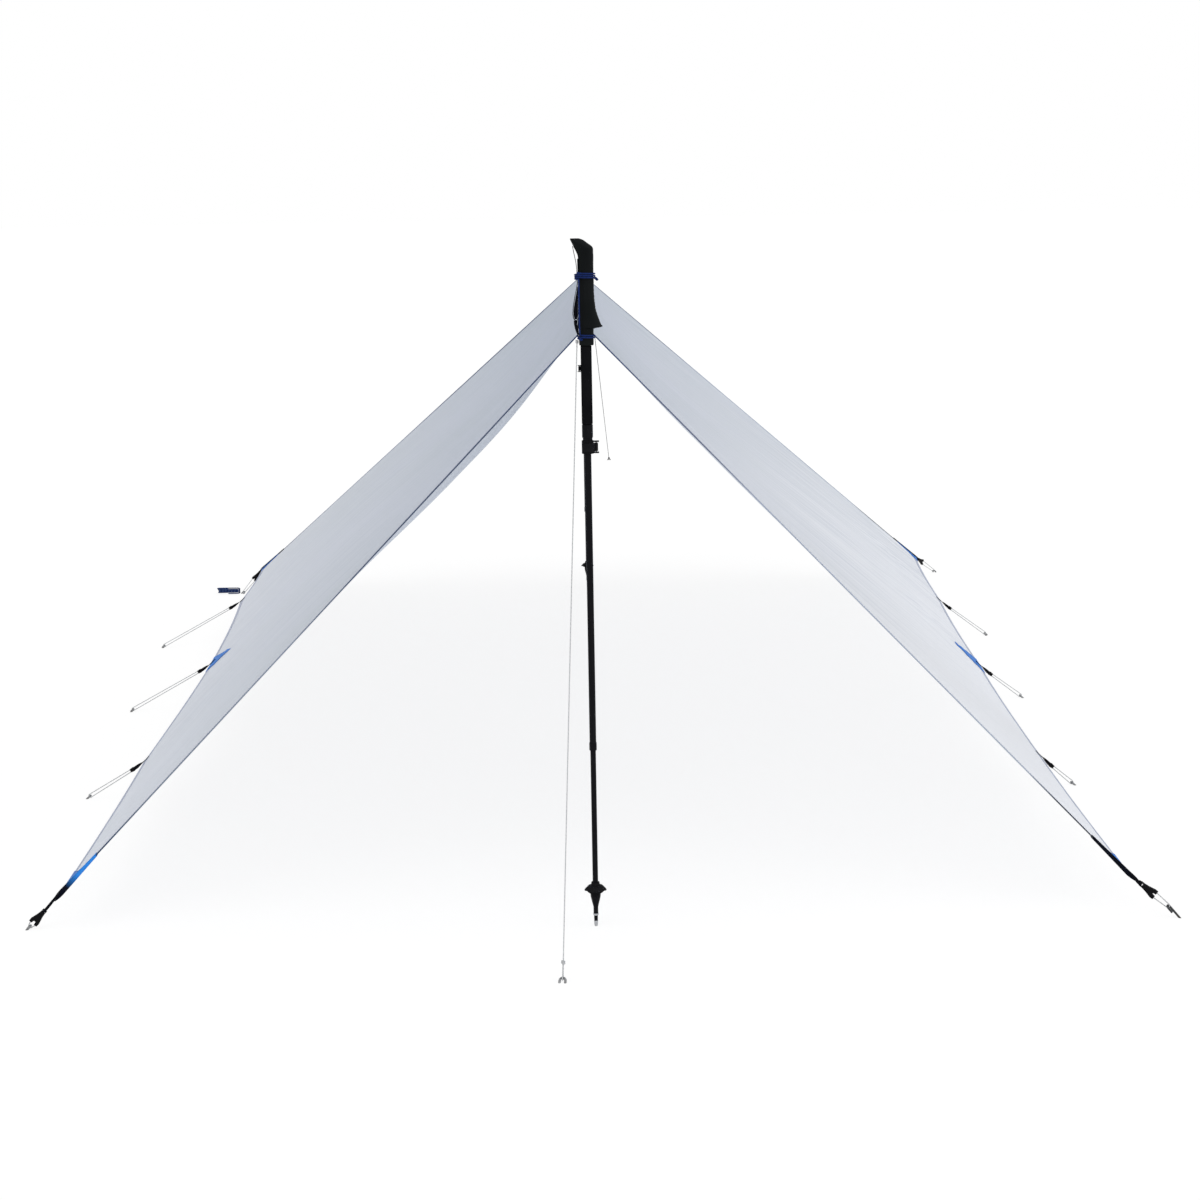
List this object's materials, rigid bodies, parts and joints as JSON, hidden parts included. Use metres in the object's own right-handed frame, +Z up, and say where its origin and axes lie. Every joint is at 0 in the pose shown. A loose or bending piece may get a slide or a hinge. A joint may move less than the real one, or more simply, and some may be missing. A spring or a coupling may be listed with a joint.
{
  "type": "camping_tarp",
  "caption": "Light grey ridge tarp pitched as an A-frame on two black telescopic walking poles, with guy lines, line-locks and stakes.",
  "frame": {"origin": "the front pole's tip, on the ground", "axes": "+Z up, +Y along the ridge from the front pole to the rear pole, +X to the right of someone who looks along +Y"},
  "size_m": [2.3722, 6.2545, 1.2402],
  "materials": {
    "cloth": "thin coated ripstop",
    "blue_webbing": "woven",
    "black_webbing": "woven",
    "white_cord": "braided",
    "blue_cord": "braided",
    "navy_cord": "braided",
    "black_plastic": "moulded",
    "black_rubber": "moulded grip",
    "black_foam": "foam",
    "black_aluminium": "black anodised",
    "stake_metal": "plain rod"
  },
  "bodies": {
    "tarp": {"canopy_left": "cloth", "canopy_right": "cloth", "ridge_seam": "cloth", "corner_patch_front_left": "blue_webbing", "corner_patch_front_right": "blue_webbing", "corner_patch_rear_left": "blue_webbing", "corner_patch_rear_right": "blue_webbing", "corner_lock_front_left": "black_plastic", "corner_lock_front_right": "black_plastic", "corner_lock_rear_left": "black_plastic", "corner_lock_rear_right": "black_plastic", "tieout_side_1_left": "black_plastic", "tieout_side_1_right": "black_plastic", "tieout_side_2_left": "blue_webbing", "tieout_side_2_right": "blue_webbing", "tieout_side_3_left": "black_plastic", "tieout_side_3_right": "black_plastic", "guy_front_left": "white_cord", "guy_front_right": "white_cord", "guy_side_1_left": "white_cord", "guy_side_1_right": "white_cord", "guy_side_2_left": "white_cord", "guy_side_2_right": "white_cord", "guy_side_3_left": "white_cord", "guy_side_3_right": "white_cord", "guy_rear_left": "white_cord", "guy_rear_right": "white_cord", "guy_ridge_front": "white_cord", "guy_ridge_rear": "white_cord", "stake_front_left": "stake_metal", "stake_front_right": "stake_metal", "stake_side_1_left": "stake_metal", "stake_side_1_right": "stake_metal", "stake_side_2_left": "stake_metal", "stake_side_2_right": "stake_metal", "stake_side_3_left": "stake_metal", "stake_side_3_right": "stake_metal", "stake_rear_left": "stake_metal", "stake_rear_right": "stake_metal", "stake_ridge_front": "stake_metal", "stake_ridge_rear": "stake_metal", "handle_front": "black_rubber", "handle_rear": "black_rubber", "wrist_strap_front": "black_webbing", "wrist_strap_rear": "black_webbing", "ridge_cord_front": "blue_cord", "ridge_cord_rear": "blue_cord", "foam_grip_front": "black_foam", "foam_grip_rear": "black_foam", "upper_tube_front": "black_aluminium", "upper_tube_rear": "black_aluminium", "spare_cord_hank": "navy_cord"},
    "front_middle": {"middle_tube_front": "black_aluminium"},
    "front_lower": {"lower_tube_front": "black_aluminium", "basket_front": "black_plastic"},
    "front_lever": {"clamp_lever_front": "black_plastic"},
    "rear_middle": {"middle_tube_rear": "black_aluminium"},
    "rear_lower": {"lower_tube_rear": "black_aluminium", "basket_rear": "black_plastic"},
    "rear_lever": {"clamp_lever_rear": "black_plastic"}
  },
  "joints": [
    {"name": "front_middle_slide", "type": "slide", "parent": "tarp", "child": "front_middle", "axis": [0, 0, 1], "range_m": [0, 0.2]},
    {"name": "front_lower_slide", "type": "slide", "parent": "front_middle", "child": "front_lower", "axis": [0, 0, 1], "range_m": [0, 0.2]},
    {"name": "front_lever_hinge", "type": "hinge", "parent": "tarp", "child": "front_lever", "pos_m": [0.0136, 0, 0.8085], "axis": [0, 0, 1], "range_deg": [0, 110]},
    {"name": "rear_middle_slide", "type": "slide", "parent": "tarp", "child": "rear_middle", "axis": [0, 0, 1], "range_m": [0, 0.12]},
    {"name": "rear_lower_slide", "type": "slide", "parent": "rear_middle", "child": "rear_lower", "axis": [0, 0, 1], "range_m": [0, 0.12]},
    {"name": "rear_lever_hinge", "type": "hinge", "parent": "tarp", "child": "rear_lever", "pos_m": [-0.0196, 3, 0.6505], "axis": [0, 0, 1], "range_deg": [0, 110]}
  ]
}
